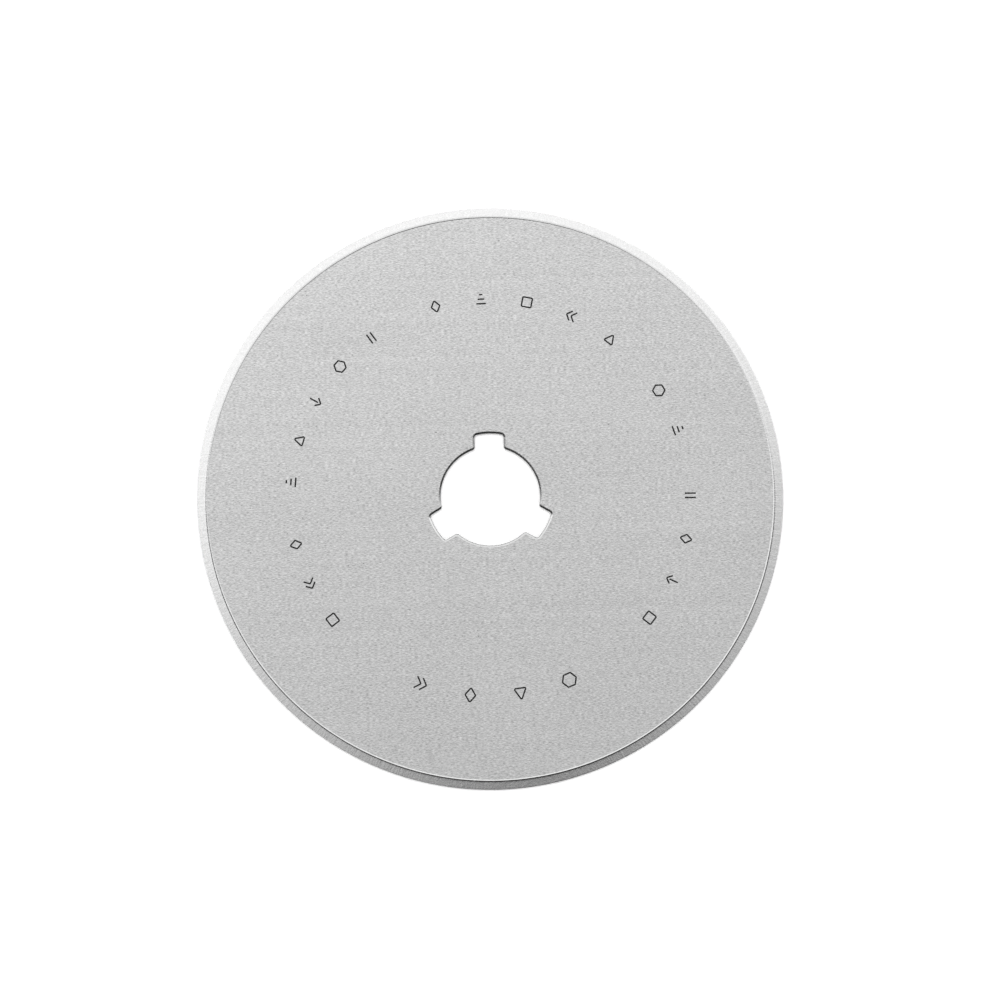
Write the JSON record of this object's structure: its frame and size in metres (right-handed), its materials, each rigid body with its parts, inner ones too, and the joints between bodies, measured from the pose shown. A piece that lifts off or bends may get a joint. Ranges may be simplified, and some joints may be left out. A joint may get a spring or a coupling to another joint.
{
  "type": "rotary cutter blade",
  "caption": "Thin round steel blade with a double-bevelled cutting rim and a keyed centre bore, which fits on the hub of a hand-held rotary cutter for fabric and paper.",
  "frame": {"origin": "centre of the keyed bore, at half the blade's thickness", "axes": "the blade lies flat: +Z along the blade's axis, out of its marked face, and one of the bore's three keys points to +Y"},
  "size_m": [0.06, 0.06, 0.0004],
  "materials": {
    "blade_steel": "satin, rolled and ground"
  },
  "bodies": {
    "root": {"blade": "blade_steel"}
  },
  "joints": []
}
